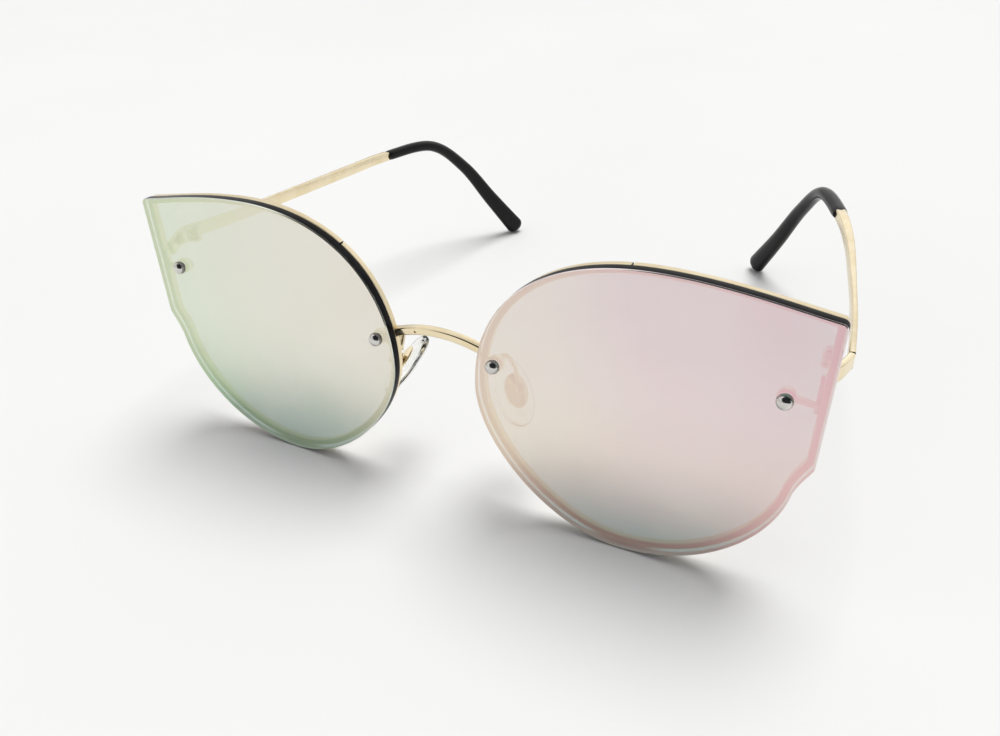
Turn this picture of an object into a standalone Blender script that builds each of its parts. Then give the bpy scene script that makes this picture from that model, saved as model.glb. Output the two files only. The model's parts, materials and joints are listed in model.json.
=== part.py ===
"""Cat eye sunglasses: flat lenses riveted to slim metal rims, folding temples and nose pads.

The lenses face -Y, +Z is up and X runs across the front. The glasses stand open on a table
at Z = 0, on the lower edges of both lenses and on the ends of both temple tips.
Every length below is in millimetres and every angle in degrees; MM turns them into metres.
Shapes are described for the +X side, which is the wearer's left, and mirrored for the other.
"""
import math

import bmesh
import bpy
from mathutils import Matrix, Vector
from mathutils.geometry import interpolate_bezier

MM = 0.001
SIDES = {"left": 1, "right": -1}

# Lens: centre of its front face, lean of its top edge backwards, and slight wrap.
LENS_X = 37.33
LENS_WRAP = 0.5
LENS_LEAN = 5.8
LENS_THICKNESS = 2.1
LENS_BEVEL = 0.35
BACK_CHAMFER = 0.1
# Lens outline in its own plane: across towards the temple, and up, from the lens centre.
TIP = (36.0, 26.0)
CREST = (6.4, 29.35)
NASAL = (-28.0, -0.5)
BOTTOM = (2.6, -30.4)
WAIST = (32.6, -7.4)
CORNER = (35.4, -1.1)
TIP_RADIUS = 1.1
CORNER_RADIUS = 0.5

# Cutters reach this far past the small parts that they drill or split.
CUTTER_REACH = 4.0

# Rim: a square wire behind the lens, set a little higher than it.
RIM_INSET = 0.35
RIM_RAISE = 0.25
RIM_WIDTH = 1.35
RIM_DEPTH = 1.6
GAP = 0.3
RIM_FRONT = LENS_THICKNESS + 0.15

# Rivets through the lens, in the lens plane.
NASAL_RIVET = (-24.0, 4.6)
TEMPORAL_RIVET = (28.85, 10.85)
HEAD_RADIUS = 1.35
HEAD_HEIGHT = 0.8
SHAFT_RADIUS = 0.55
BUSH_BORE = 0.68
BUSH_RADIUS = 1.0
BUSH_FLANGE = 1.6
FLANGE_THICKNESS = 0.22
LENS_HOLE = 1.15
LUG_RADIUS = 1.65
LUG_THICKNESS = 1.0
LUG_FRONT = LENS_THICKNESS + 0.2
BLOCK_WIDTH = 0.6
BLOCK_ABOVE = 2.9
BLOCK_BELOW = 1.9
NUT_RADIUS = 1.3
NUT_THICKNESS = 0.9

# Depth along Y. The front face of the lens, at its centre, lies this far in front of the middle.
FRONT_Y = -58.33
LOW_EDGE = Vector((0.0, LENS_THICKNESS - BACK_CHAMFER, BOTTOM[1]))
LENS_Z = -(Matrix.Rotation(math.radians(-LENS_LEAN), 3, "X") @ LOW_EDGE).z

# Bridge: an arched bar between the rims.
BRIDGE_HALF_SPAN = 10.0
BRIDGE_TOP_Z = 37.78
BRIDGE_END_Z = 35.88
BRIDGE_DEPTH = 3.55
BRIDGE_THICKNESS = 1.7

# Temple: knots along the middle of the bar and of its tip, measured from the front face.
TEMPLE_KNOTS = (
    (74.2, 13.69, 43.32),
    (72.8, 30.51, 40.92),
    (70.2, 50.45, 39.21),
    (67.3, 68.41, 38.0),
    (63.6, 82.4, 37.46),
    (57.5, 97.63, 35.57),
    (52.1, 106.71, 26.15),
    (46.4, 112.55, 13.67),
    (40.8, 117.46, 2.56),
)
BAR_THICKNESS = 1.05
BAR_HEIGHT = 3.3
BAR_END_HEIGHT = 2.4
BAR_END_THICKNESS = 2.2
BAR_THIN_SHARE = 0.4
SLEEVE_START_Y = 82.0
CORE_LENGTH = 30.0
CORE_SIZE = (0.8, 1.4)
BORE_SIZE = (1.4, 2.0)
SLEEVE_MOUTH = (1.8, 1.42)
SLEEVE_END = (1.85, 2.75)

# Hinge: axis position, knuckle heights about the middle, and pitch of the temple.
HINGE_AXIS = (70.85, 13.55, 43.54)
TEMPLE_PITCH = 5.8
KNUCKLE_RADIUS = 1.2
HINGE_HALF_HEIGHT = 1.5
KNUCKLE_SPLIT = 0.5
KNUCKLE_GAP = 0.12
PIN_RADIUS = 0.5
PIN_HOLE = 0.6
REAR_HALF_HEIGHT = 1.2
WORKING_CLEARANCE = 0.25
REAR_LEAF = (1.15, 1.95, 5.6)
FRONT_LEAF = (0.9, 1.75, 3.3)
SEAM_HALF_GAP = 0.15

# End piece: from behind the rim back to the seam with the temple.
END_PIECE_ROUTE = ((71.1, 5.8), (71.8, 7.2), (73.1, 9.8), (74.2, 13.38))
END_PIECE_THICKNESS = 1.1
END_PIECE_HEIGHT = 3.1

# Nose pads: middle of the pad, its long axis, and the face that meets the nose.
PAD_CENTRE = (13.0, 9.6, 22.97)
PAD_UP = (-0.48, 0.493, 0.723)
PAD_FACING = (-0.64, 0.37, -0.68)
PAD_HALF_LENGTH = 7.4
PAD_HALF_WIDTH = 4.5
PAD_THICKNESS = 2.2
# Crown of the pad: how far each ring is moved in, and its share of the thickness.
PAD_CROWN = ((0.5, 0.0), (0.1, 0.16), (0.0, 0.42), (0.3, 0.68), (1.1, 0.89), (2.3, 1.0))
INSERT_HALF = (3.7, 2.5)
INSERT_THICKNESS = 0.4
PIVOT_BACK = 1.7
TAB_HALF = 0.45
TAB_HALF_HEIGHT = 0.7
TAB_REACH = 0.75
CHEEK = 0.4
BOX_HALF = 1.0
BOX_BEHIND = 0.65
BOX_WALL = 0.45
PAD_PIN_RADIUS = 0.28
PAD_PIN_HOLE = 0.36
ARM_RADIUS = 0.5
ARM_KNOTS = (
    (10.5, 4.15, 31.0),
    (10.9, 6.0, 32.1),
    (11.5, 7.5, 32.8),
    (12.6, 8.7, 32.5),
    (13.8, 9.2, 30.2),
    (14.63, 9.01, 26.66),
)


def material(name, colour, roughness, metallic, alpha=1.0, transmission=0.0):
    made = bpy.data.materials.new(name)
    made.use_nodes = True
    shader = made.node_tree.nodes["Principled BSDF"]
    shader.inputs["Base Color"].default_value = (*colour, 1.0)
    shader.inputs["Roughness"].default_value = roughness
    shader.inputs["Metallic"].default_value = metallic
    shader.inputs["Alpha"].default_value = alpha
    shader.inputs["Transmission Weight"].default_value = transmission
    made.diffuse_color = (*colour, alpha)
    return made


def clear_scene():
    for obj in list(bpy.data.objects):
        bpy.data.objects.remove(obj, do_unlink=True)


def mirrored(side):
    return Matrix.Diagonal((side, 1.0, 1.0))


def station(name, side, position, rotation):
    """An empty that carries pieces. Position and rotation are given for the +X side."""
    empty = bpy.data.objects.new(name, None)
    bpy.context.scene.collection.objects.link(empty)
    flip = mirrored(side)
    turn = flip @ rotation @ flip
    place = flip @ (Vector(position) * MM)
    empty.matrix_world = Matrix.Translation(place) @ turn.to_4x4()
    empty.empty_display_size = 0.01
    return empty


def from_front(point):
    """A point whose Y is counted from the front face of the lenses, in scene millimetres."""
    return Vector((point[0], point[1] + FRONT_Y, point[2]))


def rotation_from_axes(x_axis, y_axis, z_axis):
    return Matrix((x_axis, y_axis, z_axis)).transposed()


def add_mesh(name, bm, look, parent, side):
    """Turns bmesh geometry in local millimetres into a finished object on its station."""
    for vertex in bm.verts:
        vertex.co = mirrored(side) @ vertex.co * MM
    bmesh.ops.recalc_face_normals(bm, faces=bm.faces)
    mesh = bpy.data.meshes.new(name)
    bm.to_mesh(mesh)
    bm.free()
    mesh.materials.append(look)
    mesh.shade_smooth()
    mesh.set_sharp_from_angle(angle=math.radians(35))
    obj = bpy.data.objects.new(name, mesh)
    bpy.context.scene.collection.objects.link(obj)
    obj.parent = parent
    return obj


def skin(bm, rings, closed=False):
    """Joins rings of equal length into one skin, and caps its two ends unless it closes."""
    loops = [[bm.verts.new(point) for point in ring] for ring in rings]
    count = len(loops[0])
    pairs = list(zip(loops, loops[1:]))
    if closed:
        pairs.append((loops[-1], loops[0]))
    for low, high in pairs:
        for i in range(count):
            j = (i + 1) % count
            bm.faces.new((low[i], low[j], high[j], high[i]))
    if not closed:
        bm.faces.new(loops[0][::-1])
        bm.faces.new(loops[-1])


def add_skin(name, rings, look, parent, side, closed=False):
    bm = bmesh.new()
    skin(bm, rings, closed)
    return add_mesh(name, bm, look, parent, side)


def cut(obj, name, rings, parent, side):
    """Subtracts a hidden solid from the object."""
    tool = add_skin(name, rings, obj.data.materials[0], parent, side)
    tool.hide_render = True
    tool.display_type = "WIRE"
    boolean = obj.modifiers.new(name, "BOOLEAN")
    boolean.operation = "DIFFERENCE"
    boolean.solver = "EXACT"
    boolean.object = tool


def circle(radius, count, start=0.0):
    steps = (start + 2 * math.pi * i / count for i in range(count))
    return [(radius * math.cos(a), radius * math.sin(a)) for a in steps]


def rounded_box(width, height, radius, steps=2):
    """Outline of a rectangle with round corners, about its middle."""
    points = []
    for quarter, (sx, sy) in enumerate(((1, 1), (-1, 1), (-1, -1), (1, -1))):
        centre = (sx * (width / 2 - radius), sy * (height / 2 - radius))
        for i in range(steps):
            angle = math.pi / 2 * (quarter + i / (steps - 1))
            points.append(
                (centre[0] + radius * math.cos(angle), centre[1] + radius * math.sin(angle))
            )
    return points


def turned(profile, count, axis_point=(0.0, 0.0)):
    """Rings of a turned part about the depth axis: the profile lists radius and depth."""
    return [
        [(axis_point[0] + x, depth, axis_point[1] + z) for x, z in circle(radius, count)]
        for radius, depth in profile
    ]


def slab(outline, low, high):
    """Rings of a flat plate: an outline in X and Y, between two heights."""
    return [[(x, y, z) for x, y in outline] for z in (low, high)]


def block(low, high):
    outline = ((low[0], low[1]), (high[0], low[1]), (high[0], high[1]), (low[0], high[1]))
    return slab(outline, low[2], high[2])


# ---------------------------------------------------------------- outline of the lens


def lens_curves():
    """Bezier curves of the outline, from the tip over the nose side to the lower corner."""
    lean = math.radians(10)
    rise = math.radians(27)
    return (
        (TIP, (TIP[0] - 6.5, TIP[1] + 0.8), (CREST[0] + 12.5, CREST[1]), CREST, 12),
        (CREST, (CREST[0] - 23.3, CREST[1]), (NASAL[0], NASAL[1] + 16.4), NASAL, 20),
        (NASAL, (NASAL[0], NASAL[1] - 13.0), (BOTTOM[0] - 14.9, BOTTOM[1]), BOTTOM, 16),
        (
            BOTTOM,
            (BOTTOM[0] + 16.0, BOTTOM[1]),
            (WAIST[0] - 11.7 * math.sin(lean), WAIST[1] - 11.7 * math.cos(lean)),
            WAIST,
            18,
        ),
        (
            WAIST,
            (WAIST[0] + 2.0 * math.sin(lean), WAIST[1] + 2.0 * math.cos(lean)),
            (CORNER[0] - 2.2 * math.sin(rise), CORNER[1] - 2.2 * math.cos(rise)),
            CORNER,
            4,
        ),
    )


def fillet(corner, before, after, radius, steps=5):
    """Arc that rounds a corner between the directions towards its two neighbours."""
    half = before.angle(after) / 2
    middle = corner + (before + after).normalized() * radius / math.sin(half)
    start = corner + before * radius / math.tan(half) - middle
    end = corner + after * radius / math.tan(half) - middle
    sweep = start.angle_signed(end)
    return [middle + Matrix.Rotation(-sweep * i / (steps - 1), 2) @ start for i in range(steps)]


def lens_outline(inset):
    """The outline moved inwards by inset, with its tip and lower corner rounded."""
    points = []
    directions = []
    for start, first, second, end, steps in lens_curves():
        flat = [Vector((*p, 0.0)) for p in (start, first, second, end)]
        samples = [p.to_2d() for p in interpolate_bezier(*flat, 8 * steps + 1)]
        for i in range(0, 8 * steps, 8):
            points.append(samples[i])
            directions.append((samples[i + 1] - samples[i]).normalized())
    finish = (samples[-1] - samples[-2]).normalized()
    inward = [Vector((-d.y, d.x)) for d in directions]
    moved = [p + n * inset for p, n in zip(points, inward)]
    side = (Vector(TIP) - Vector(CORNER)).normalized()
    side_in = Vector((-side.y, side.x)) * inset

    def meet(a, direction_a, b, direction_b):
        t = (b - a).cross(direction_b) / direction_a.cross(direction_b)
        return a + direction_a * t

    finish_in = Vector((-finish.y, finish.x)) * inset
    tip = meet(moved[0], directions[0], Vector(TIP) + side_in, side)
    corner = meet(Vector(CORNER) + finish_in, finish, Vector(CORNER) + side_in, side)
    tip_arc = fillet(tip, -side, directions[0], max(TIP_RADIUS - inset, 0.15))
    corner_arc = fillet(corner, -finish, side, max(CORNER_RADIUS, 0.15), 4)
    return tip_arc + moved[2:] + corner_arc


def lens_ring(inset, depth):
    return [(p.x, depth, p.y) for p in lens_outline(inset)]


# ---------------------------------------------------------------- smooth routes


def smooth_route(knots, per_knot=5):
    """Catmull-Rom curve through the knots, as points."""
    knots = [Vector(k) for k in knots]
    padded = [2 * knots[0] - knots[1], *knots, 2 * knots[-1] - knots[-2]]
    points = []
    for a, b, c, d in zip(padded, padded[1:], padded[2:], padded[3:]):
        for i in range(per_knot):
            t = i / per_knot
            points.append(
                0.5
                * (
                    2 * b
                    + (c - a) * t
                    + (2 * a - 5 * b + 4 * c - d) * t**2
                    + (3 * b - a - 3 * c + d) * t**3
                )
            )
    points.append(knots[-1])
    return points


def frames_along(points, up=Vector((0.0, 0.0, 1.0))):
    """For each point of a route: the point, its sideways axis and its height axis."""
    frames = []
    last = len(points) - 1
    for i, point in enumerate(points):
        ahead = (points[min(i + 1, last)] - points[max(i - 1, 0)]).normalized()
        across = ahead.cross(up).normalized()
        frames.append((point, across, across.cross(ahead)))
    return frames


def place_section(frame, section):
    point, across, high = frame
    return [point + across * a + high * b for a, b in section]


def lengths_along(points):
    total = [0.0]
    for a, b in zip(points, points[1:]):
        total.append(total[-1] + (b - a).length)
    return total


# ---------------------------------------------------------------- the front


def make_lens(front, side, name, look):
    rings = [
        lens_ring(LENS_BEVEL, 0.0),
        lens_ring(0.0, LENS_BEVEL),
        lens_ring(0.0, LENS_THICKNESS - BACK_CHAMFER),
        lens_ring(BACK_CHAMFER, LENS_THICKNESS),
    ]
    lens = add_skin("lens_" + name, rings, look, front, side)
    for where, centre in (("nasal", NASAL_RIVET), ("temporal", TEMPORAL_RIVET)):
        drill = turned(((LENS_HOLE, -1.0), (LENS_HOLE, LENS_THICKNESS + 1.0)), 20, centre)
        cut(lens, f"cut_lens_{where}_{name}", drill, front, side)


def make_rim(front, side, name, look):
    section = rounded_box(RIM_WIDTH, RIM_DEPTH, 0.4)
    rings = []
    for across, depth in section:
        inset = RIM_INSET + RIM_WIDTH / 2 + across
        ring = lens_ring(inset, RIM_FRONT + RIM_DEPTH / 2 + depth)
        rings.append([(x, y, z + RIM_RAISE) for x, y, z in ring])
    add_skin("rim_" + name, rings, look, front, side, closed=True)


def make_rivet(front, side, name, centre, look):
    """A domed screw through lens and lug."""
    under = -FLANGE_THICKNESS - 0.15
    end = LUG_FRONT + LUG_THICKNESS + NUT_THICKNESS + 0.35
    profile = [(0.12, under - HEAD_HEIGHT)]
    for i in range(1, 6):
        angle = math.pi / 2 * i / 5
        profile.append((HEAD_RADIUS * math.sin(angle), under - HEAD_HEIGHT * math.cos(angle)))
    profile += [(SHAFT_RADIUS, under), (SHAFT_RADIUS, end)]
    add_skin("rivet_" + name, turned(profile, 20, centre), look, front, side)


def make_bush(front, side, name, centre, look):
    """A flanged nylon sleeve that keeps the rivet off the lens."""
    profile = (
        (BUSH_BORE, -FLANGE_THICKNESS - 0.05),
        (BUSH_FLANGE, -FLANGE_THICKNESS - 0.05),
        (BUSH_FLANGE, -0.05),
        (BUSH_RADIUS, -0.05),
        (BUSH_RADIUS, LENS_THICKNESS),
        (BUSH_BORE, LENS_THICKNESS),
    )
    add_skin("bush_" + name, turned(profile, 20, centre), look, front, side, closed=True)


def make_nut(front, side, name, centre, look):
    """A round nut behind the lug."""
    start = LUG_FRONT + LUG_THICKNESS + 0.15
    end = start + NUT_THICKNESS
    profile = (
        (BUSH_BORE, start),
        (NUT_RADIUS, start),
        (NUT_RADIUS, end - 0.2),
        (NUT_RADIUS - 0.2, end),
        (BUSH_BORE, end),
    )
    add_skin("nut_" + name, turned(profile, 16, centre), look, front, side, closed=True)


def drill_lug(lug, front, side, name, centre):
    drill = turned(((BUSH_BORE, 1.0), (BUSH_BORE, 9.0)), 16, centre)
    cut(lug, "cut_" + name, drill, front, side)


def make_nasal_lug(front, side, name, look):
    """An eye on a short tab that stands inwards from the rim and takes the nose side rivet."""
    u, v = NASAL_RIVET
    flat = NASAL[0] + RIM_INSET + RIM_WIDTH + 3 * GAP
    tab = 1.1
    start = math.pi - math.asin(tab / LUG_RADIUS)
    steps = 18
    outline = [(flat - 0.2, v - tab), (flat + 0.2, v + tab)]
    for i in range(steps + 1):
        angle = start - 2 * start * i / steps
        outline.append((u + LUG_RADIUS * math.cos(angle), v + LUG_RADIUS * math.sin(angle)))
    rings = [[(x, depth, z) for x, z in outline] for depth in (LUG_FRONT, LUG_FRONT + LUG_THICKNESS)]
    lug = add_skin("lug_nasal_" + name, rings, look, front, side)
    drill_lug(lug, front, side, "lug_nasal_" + name, NASAL_RIVET)


def make_temporal_lug(front, side, name, look):
    """An eye on a short bar that ends in the block beside the rim."""
    u, v = TEMPORAL_RIVET
    reach = TIP[0] - RIM_INSET - RIM_WIDTH - 2 * GAP
    inner = reach - BLOCK_WIDTH
    first = math.radians(-25)
    sweep = math.radians(318)
    steps = 18
    outline = []
    for i in range(steps + 1):
        angle = first + sweep * i / steps
        outline.append((u + LUG_RADIUS * math.cos(angle), v + LUG_RADIUS * math.sin(angle)))
    outline += [
        (inner, v - 1.0),
        (inner, v - BLOCK_BELOW),
        (reach, v - BLOCK_BELOW),
        (reach, v + BLOCK_ABOVE),
        (inner, v + BLOCK_ABOVE),
        (inner, v - 0.15),
    ]
    rings = [[(x, depth, z) for x, z in outline] for depth in (LUG_FRONT, LUG_FRONT + LUG_THICKNESS)]
    lug = add_skin("lug_temporal_" + name, rings, look, front, side)
    drill_lug(lug, front, side, "lug_temporal_" + name, TEMPORAL_RIVET)


def make_bridge(look):
    points = []
    steps = 20
    for i in range(steps + 1):
        x = BRIDGE_HALF_SPAN * (2 * i / steps - 1)
        drop = (BRIDGE_TOP_Z - BRIDGE_END_Z) * (x / BRIDGE_HALF_SPAN) ** 2
        points.append(from_front((x, BRIDGE_DEPTH, BRIDGE_TOP_Z - drop)))
    section = rounded_box(BRIDGE_THICKNESS, BRIDGE_THICKNESS, 0.45)
    rings = [place_section(frame, section) for frame in frames_along(points)]
    add_skin("bridge", rings, look, None, 1)


def make_end_piece(side, name, look):
    knots = [from_front((x, y, HINGE_AXIS[2])) for x, y in END_PIECE_ROUTE]
    section = rounded_box(END_PIECE_THICKNESS, END_PIECE_HEIGHT, 0.3)
    rings = [place_section(frame, section) for frame in frames_along(smooth_route(knots, 4))]
    add_skin("end_piece_" + name, rings, look, None, side)


# ---------------------------------------------------------------- hinge and temple


def leaf_outline(direction, leaf):
    """Knuckle and leaf in plan: direction is 1 behind the axis and -1 in front of it."""
    near, far, length = leaf
    low, high = 7, 75
    steps = 18
    outline = []
    for i in range(steps + 1):
        angle = math.radians(high + (360 + low - high) * i / steps)
        outline.append((KNUCKLE_RADIUS * math.cos(angle), KNUCKLE_RADIUS * math.sin(angle)))
    web = KNUCKLE_RADIUS * math.sin(math.radians(low))
    outline += [(far, web), (far, length), (near, length), (near, KNUCKLE_RADIUS + 0.4)]
    return [(x, direction * y) for x, y in outline]


def make_hinge(axle, side, name, look, screw_look):
    """Three knuckles on one screw: two on the end piece, one on the temple."""
    tall = HINGE_HALF_HEIGHT
    slot = KNUCKLE_SPLIT + KNUCKLE_GAP
    clear = KNUCKLE_RADIUS + WORKING_CLEARANCE
    far = CUTTER_REACH
    hole = slab(circle(PIN_HOLE, 16), -far, far)

    front_rings = slab(leaf_outline(-1, FRONT_LEAF), -tall, tall)
    front = add_skin("hinge_front_" + name, front_rings, look, axle, side)
    middle = block((-far, -clear, -slot), (far, far, slot))
    cut(front, "cut_hinge_slot_" + name, middle, axle, side)
    cut(front, "cut_hinge_front_pin_" + name, hole, axle, side)

    rear_rings = slab(leaf_outline(1, REAR_LEAF), -REAR_HALF_HEIGHT, REAR_HALF_HEIGHT)
    rear = add_skin("hinge_rear_" + name, rear_rings, look, axle, side)
    for where, low, high in (("top", KNUCKLE_SPLIT, far), ("bottom", -far, -KNUCKLE_SPLIT)):
        step = block((-far, -far, low), (far, clear, high))
        cut(rear, f"cut_hinge_{where}_{name}", step, axle, side)
    cut(rear, "cut_hinge_rear_pin_" + name, hole, axle, side)

    profile = (
        (PIN_RADIUS, -tall - 0.1),
        (PIN_RADIUS, tall + 0.1),
        (0.9, tall + 0.1),
        (0.9, tall + 0.35),
        (0.7, tall + 0.5),
    )
    rings = [[(x, y, z) for x, y in circle(radius, 16)] for radius, z in profile]
    add_skin("hinge_screw_" + name, rings, screw_look, axle, side)


def temple_route(axle, side):
    """Frames along the whole temple in its station's axes, with the length along them."""
    to_local = (mirrored(side) @ axle.matrix_world.to_3x3() @ mirrored(side)).inverted()
    centre = from_front(HINGE_AXIS)
    points = [to_local @ (from_front(p) - centre) for p in smooth_route(TEMPLE_KNOTS)]
    frames = frames_along(points, to_local @ Vector((0.0, 0.0, 1.0)))
    mouth = [p[1] for p in smooth_route(TEMPLE_KNOTS)]
    start = next(i for i, y in enumerate(mouth) if y >= SLEEVE_START_Y)
    return frames, lengths_along(points), start


def bar_section(share):
    """The bar gets lower all the way back, and thicker behind its thin front part."""
    swell = max(0.0, (share - BAR_THIN_SHARE) / (1.0 - BAR_THIN_SHARE))
    thickness = BAR_THICKNESS + (BAR_END_THICKNESS - BAR_THICKNESS) * swell
    height = BAR_HEIGHT + (BAR_END_HEIGHT - BAR_HEIGHT) * share
    return rounded_box(thickness, height, 0.35)


def make_temple(axle, side, name, look):
    """Flat bar that turns squarer backwards and ends in the core inside the tip."""
    frames, lengths, start = temple_route(axle, side)
    rings = []
    for frame, along in zip(frames[:start], lengths):
        rings.append(place_section(frame, bar_section(along / lengths[start])))
    mouth, across, high = frames[start]
    back = (frames[start - 1][0] - mouth).normalized() * GAP
    stop = (mouth + back, across, high)
    core = rounded_box(*CORE_SIZE, 0.25)
    rings.append(place_section(stop, bar_section(1.0)))
    rings.append(place_section(stop, core))
    for frame, along in zip(frames[start:], lengths[start:]):
        if along < lengths[start] + CORE_LENGTH:
            rings.append(place_section(frame, core))
    add_skin("temple_" + name, rings, look, axle, side)


def sleeve_section(t):
    """Half thickness and half height of the tip at a share t of its length."""
    swell = t * t
    half = [a + (b - a) * swell for a, b in zip(SLEEVE_MOUTH, SLEEVE_END)]
    return [(half[0] * x, half[1] * z) for x, z in circle(1.0, 16)]


def make_tip(axle, side, name, look):
    """Plastic tip over the temple's core, with a blind bore and a rounded end."""
    frames, lengths, start = temple_route(axle, side)
    mouth = lengths[start]
    total = lengths[-1] - mouth
    bore = []
    outer = []
    bore_section = [(a * BORE_SIZE[0] / 2, b * BORE_SIZE[1] / 2) for a, b in circle(1.0, 16)]
    for frame, along in zip(frames[start:], lengths[start:]):
        if along < mouth + CORE_LENGTH + 1.5:
            bore.append(place_section(frame, bore_section))
        outer.append(place_section(frame, sleeve_section((along - mouth) / total)))
    point, across, high = frames[-1]
    ahead = (frames[-1][0] - frames[-2][0]).normalized()
    for i in range(1, 6):
        angle = math.pi / 2 * i / 6
        centre = point + ahead * SLEEVE_END[1] * 0.9 * math.sin(angle)
        rounded = [(a * math.cos(angle), b * math.cos(angle)) for a, b in sleeve_section(1.0)]
        outer.append(place_section((centre, across, high), rounded))
    add_skin("temple_tip_" + name, bore[::-1] + outer, look, axle, side)


# ---------------------------------------------------------------- nose pads


def pad_axes():
    up = Vector(PAD_UP).normalized()
    facing = Vector(PAD_FACING)
    facing = (facing - up * facing.dot(up)).normalized()
    return rotation_from_axes(facing, up.cross(facing), up)


def pad_pin_hole():
    reach = (-CUTTER_REACH, CUTTER_REACH)
    return [[(x, y, z) for x, z in circle(PAD_PIN_HOLE, 12)] for y in reach]


def make_pad(pivot, side, name, look, metal):
    """Oval pad, crowned towards the nose, on a metal insert with a pierced tab."""
    rings = []
    for inset, share in PAD_CROWN:
        wide = PAD_HALF_WIDTH - inset
        tall = PAD_HALF_LENGTH - inset
        x = PIVOT_BACK + share * PAD_THICKNESS
        rings.append([(x, a * wide, b * tall) for a, b in circle(1.0, 28)])
    add_skin("nose_pad_" + name, rings, look, pivot, side)

    front = PIVOT_BACK - GAP
    oval = [(b * INSERT_HALF[1], a * INSERT_HALF[0]) for a, b in circle(1.0, 20)]
    plate = bmesh.new()
    skin(plate, [[(x, y, z) for y, z in oval] for x in (front - INSERT_THICKNESS, front)])
    insert = add_mesh("pad_insert_" + name, plate, metal, pivot, side)
    reach = [
        (front - INSERT_THICKNESS / 2, -TAB_HALF),
        (front - INSERT_THICKNESS / 2, TAB_HALF),
        (-TAB_REACH, TAB_HALF),
        (-TAB_REACH, -TAB_HALF),
    ]
    ear = add_skin("join_pad_tab_" + name, slab(reach, -TAB_HALF_HEIGHT, TAB_HALF_HEIGHT), metal, pivot, side)
    ear.hide_render = True
    ear.display_type = "WIRE"
    union = insert.modifiers.new("tab", "BOOLEAN")
    union.operation = "UNION"
    union.solver = "EXACT"
    union.object = ear
    cut(insert, "cut_pad_tab_" + name, pad_pin_hole(), pivot, side)


def make_pad_box(pivot, side, name, look, screw_look):
    """Small open box at the end of the arm, with the cross screw that carries the pad."""
    inner = TAB_HALF + 0.12
    outer = inner + CHEEK
    low = -TAB_REACH - BOX_BEHIND
    floor = low + BOX_WALL
    high = TAB_REACH
    outline = (
        (high, inner),
        (high, outer),
        (low, outer),
        (low, -outer),
        (high, -outer),
        (high, -inner),
        (floor, -inner),
        (floor, inner),
    )
    box = add_skin("pad_box_" + name, slab(outline, -BOX_HALF, BOX_HALF), look, pivot, side)
    cut(box, "cut_pad_box_" + name, pad_pin_hole(), pivot, side)
    profile = (
        (PAD_PIN_RADIUS, outer + 0.15),
        (PAD_PIN_RADIUS, -outer - 0.08),
        (0.62, -outer - 0.08),
        (0.62, -outer - 0.3),
        (0.4, -outer - 0.42),
    )
    rings = [[(x, y, z) for x, z in circle(radius, 12)] for radius, y in profile]
    add_skin("pad_screw_" + name, rings, screw_look, pivot, side)


def make_pad_arm(side, name, look):
    points = smooth_route([from_front(k) for k in ARM_KNOTS], 6)
    across = Vector((0.0, 1.0, 0.0))
    frames = frames_along(points, across)
    rings = [place_section(frame, circle(ARM_RADIUS, 10)) for frame in frames]
    add_skin("pad_arm_" + name, rings, look, None, side)


def main():
    clear_scene()
    gold = material("polished_gold", (0.87, 0.70, 0.42), 0.16, 1.0)
    silver = material("rivet_steel", (0.62, 0.61, 0.59), 0.12, 1.0)
    black = material("black_tip", (0.012, 0.013, 0.013), 0.18, 0.0)
    clear = material("clear_pad", (0.93, 0.94, 0.92), 0.12, 0.0, 0.45, 0.6)
    nylon = material("nylon_bush", (0.86, 0.86, 0.82), 0.35, 0.0)
    pink = material("pink_mirror_lens", (0.80, 0.68, 0.68), 0.06, 0.6)
    green = material("green_mirror_lens", (0.72, 0.76, 0.66), 0.06, 0.6)
    lens_looks = {"left": pink, "right": green}

    lens_turn = Matrix.Rotation(math.radians(-LENS_LEAN), 3, "X") @ Matrix.Rotation(
        math.radians(LENS_WRAP), 3, "Z"
    )
    hinge_turn = Matrix.Rotation(math.radians(-TEMPLE_PITCH), 3, "X")
    pad_turn = pad_axes()
    pad_back = pad_turn @ Vector((-PIVOT_BACK - PAD_THICKNESS / 2, 0.0, 0.0))
    pad_pivot = from_front(PAD_CENTRE) + pad_back

    make_bridge(gold)
    for name, side in SIDES.items():
        front = station("lens_plane_" + name, side, (LENS_X, FRONT_Y, LENS_Z), lens_turn)
        make_lens(front, side, name, lens_looks[name])
        make_rim(front, side, name, gold)
        make_nasal_lug(front, side, name, gold)
        make_temporal_lug(front, side, name, gold)
        for where, centre in (("nasal", NASAL_RIVET), ("temporal", TEMPORAL_RIVET)):
            make_rivet(front, side, f"{where}_{name}", centre, silver)
            make_bush(front, side, f"{where}_{name}", centre, nylon)
            make_nut(front, side, f"{where}_{name}", centre, silver)
        make_end_piece(side, name, gold)

        axle = station("hinge_axis_" + name, side, from_front(HINGE_AXIS), hinge_turn)
        make_hinge(axle, side, name, gold, silver)
        make_temple(axle, side, name, gold)
        make_tip(axle, side, name, black)

        pivot = station("pad_pivot_" + name, side, pad_pivot, pad_turn)
        make_pad(pivot, side, name, clear, gold)
        make_pad_box(pivot, side, name, gold, gold)
        make_pad_arm(side, name, gold)


main()
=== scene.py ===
"""Looks of the cat eye sunglasses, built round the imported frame.

Shapes are described in millimetres for the +X side, the wearer's left, and mirrored for the
other. Each visible piece rides on the body of the CAD node that it stands for.
"""
import json
import math

import bmesh
import bpy
from mathutils import Matrix, Vector
from mathutils.geometry import interpolate_bezier


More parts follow.
